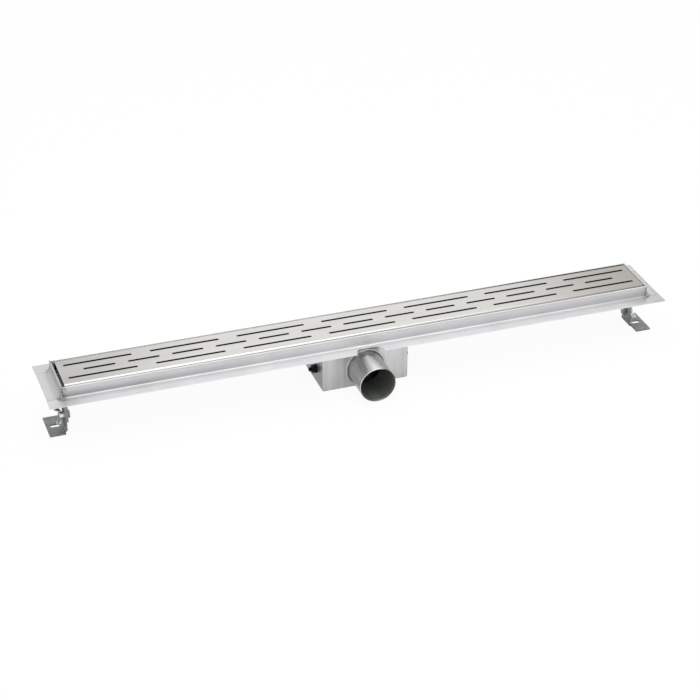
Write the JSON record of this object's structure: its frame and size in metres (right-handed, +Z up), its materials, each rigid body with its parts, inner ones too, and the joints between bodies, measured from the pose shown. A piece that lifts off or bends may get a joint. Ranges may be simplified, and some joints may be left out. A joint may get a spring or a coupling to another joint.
{
  "type": "linear shower drain",
  "caption": "Linear shower drain: long folded channel with a raised rim and flange, slotted grate, trap box with side outlet, adjustable feet.",
  "frame": {"origin": "on the floor under the middle of the channel, on the underside of the trap box", "axes": "+X along the channel to the right, +Y to the back, away from the outlet, +Z up"},
  "size_m": [0.8692, 0.1392, 0.08],
  "materials": {
    "grate_steel": "brushed along the length",
    "channel_steel": "bright rolled sheet, satin",
    "box_steel": "rolled sheet, satin",
    "pipe_steel": "rolled tube, satin",
    "bracket_steel": "raw rolled strip, dull",
    "zinc": "zinc plated, bluish",
    "blackened_steel": "blackened",
    "strainer_steel": "pressed sheet",
    "trap_plastic": "moulded polypropylene",
    "rubber_black": "moulded rubber"
  },
  "bodies": {
    "drain": {"channel_body": "channel_steel", "end_cap_left": "channel_steel", "end_cap_right": "channel_steel", "grate": "grate_steel", "trap_box": "box_steel", "box_cover": "box_steel", "outlet_pipe": "pipe_steel", "insert_seal": "rubber_black", "trap_insert": "trap_plastic", "trap_cup": "trap_plastic", "hair_strainer": "strainer_steel", "grate_pad_1": "rubber_black", "grate_pad_2": "rubber_black", "grate_pad_3": "rubber_black", "grate_pad_4": "rubber_black", "grate_pad_5": "rubber_black", "grate_pad_6": "rubber_black", "grate_pad_7": "rubber_black", "grate_pad_8": "rubber_black", "foot_tab_left": "bracket_steel", "foot_bolt_left": "zinc", "foot_washer_left": "zinc", "wing_nut_left": "zinc", "side_stud_left": "blackened_steel", "side_washer_left": "blackened_steel", "side_nut_left": "blackened_steel", "foot_tab_right": "bracket_steel", "foot_bolt_right": "zinc", "foot_washer_right": "zinc", "wing_nut_right": "zinc", "side_stud_right": "blackened_steel", "side_washer_right": "blackened_steel", "side_nut_right": "blackened_steel"},
    "left_foot": {"foot_left": "bracket_steel"},
    "right_foot": {"foot_right": "bracket_steel"}
  },
  "joints": [
    {"name": "left_foot_height", "type": "slide", "parent": "drain", "child": "left_foot", "axis": [0, 0, -1], "range_m": [-0.0042, 0.0166]},
    {"name": "right_foot_height", "type": "slide", "parent": "drain", "child": "right_foot", "axis": [0, 0, -1], "range_m": [-0.0042, 0.0166]}
  ]
}
